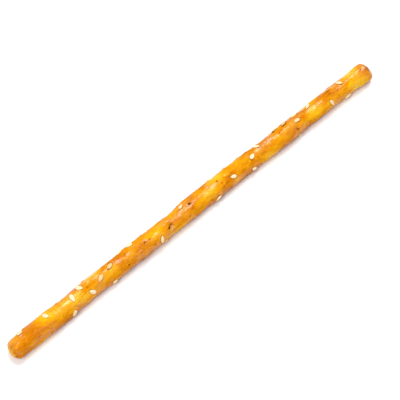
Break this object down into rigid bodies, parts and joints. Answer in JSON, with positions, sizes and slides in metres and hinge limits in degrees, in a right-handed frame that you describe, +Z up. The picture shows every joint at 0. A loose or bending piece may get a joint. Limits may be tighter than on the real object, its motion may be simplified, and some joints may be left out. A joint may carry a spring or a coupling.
{
  "type": "thin sesame bread stick",
  "caption": "Thin, straight, crisp baked bread stick with a glossy golden crust, browned cut ends and sesame seeds set in its surface, lying on its flat baked underside.",
  "frame": {"origin": "at mid-length, on the flat underside that the stick was baked on and rests on", "axes": "+X along the stick, +Y across it, +Z up from the surface it rests on"},
  "size_m": [0.188, 0.0095, 0.0082],
  "materials": {
    "crust": "glazed baked crust, golden orange, browner at the ends and on the underside",
    "sesame": "smooth toasted sesame seed, cream"
  },
  "bodies": {
    "root": {"baked_stick": "crust", "sesame_seed_01": "sesame", "sesame_seed_02": "sesame", "sesame_seed_03": "sesame", "sesame_seed_04": "sesame", "sesame_seed_05": "sesame", "sesame_seed_06": "sesame", "sesame_seed_07": "sesame", "sesame_seed_08": "sesame", "sesame_seed_09": "sesame", "sesame_seed_10": "sesame", "sesame_seed_11": "sesame", "sesame_seed_12": "sesame", "sesame_seed_13": "sesame", "sesame_seed_14": "sesame", "sesame_seed_15": "sesame", "sesame_seed_16": "sesame", "sesame_seed_17": "sesame", "sesame_seed_18": "sesame", "sesame_seed_19": "sesame", "sesame_seed_20": "sesame", "sesame_seed_21": "sesame", "sesame_seed_22": "sesame", "sesame_seed_23": "sesame", "sesame_seed_24": "sesame", "sesame_seed_25": "sesame", "sesame_seed_26": "sesame", "sesame_seed_27": "sesame", "sesame_seed_28": "sesame", "sesame_seed_29": "sesame", "sesame_seed_30": "sesame", "sesame_seed_31": "sesame", "sesame_seed_32": "sesame", "sesame_seed_33": "sesame", "sesame_seed_34": "sesame", "sesame_seed_35": "sesame", "sesame_seed_36": "sesame", "sesame_seed_37": "sesame", "sesame_seed_38": "sesame", "sesame_seed_39": "sesame"}
  },
  "joints": []
}
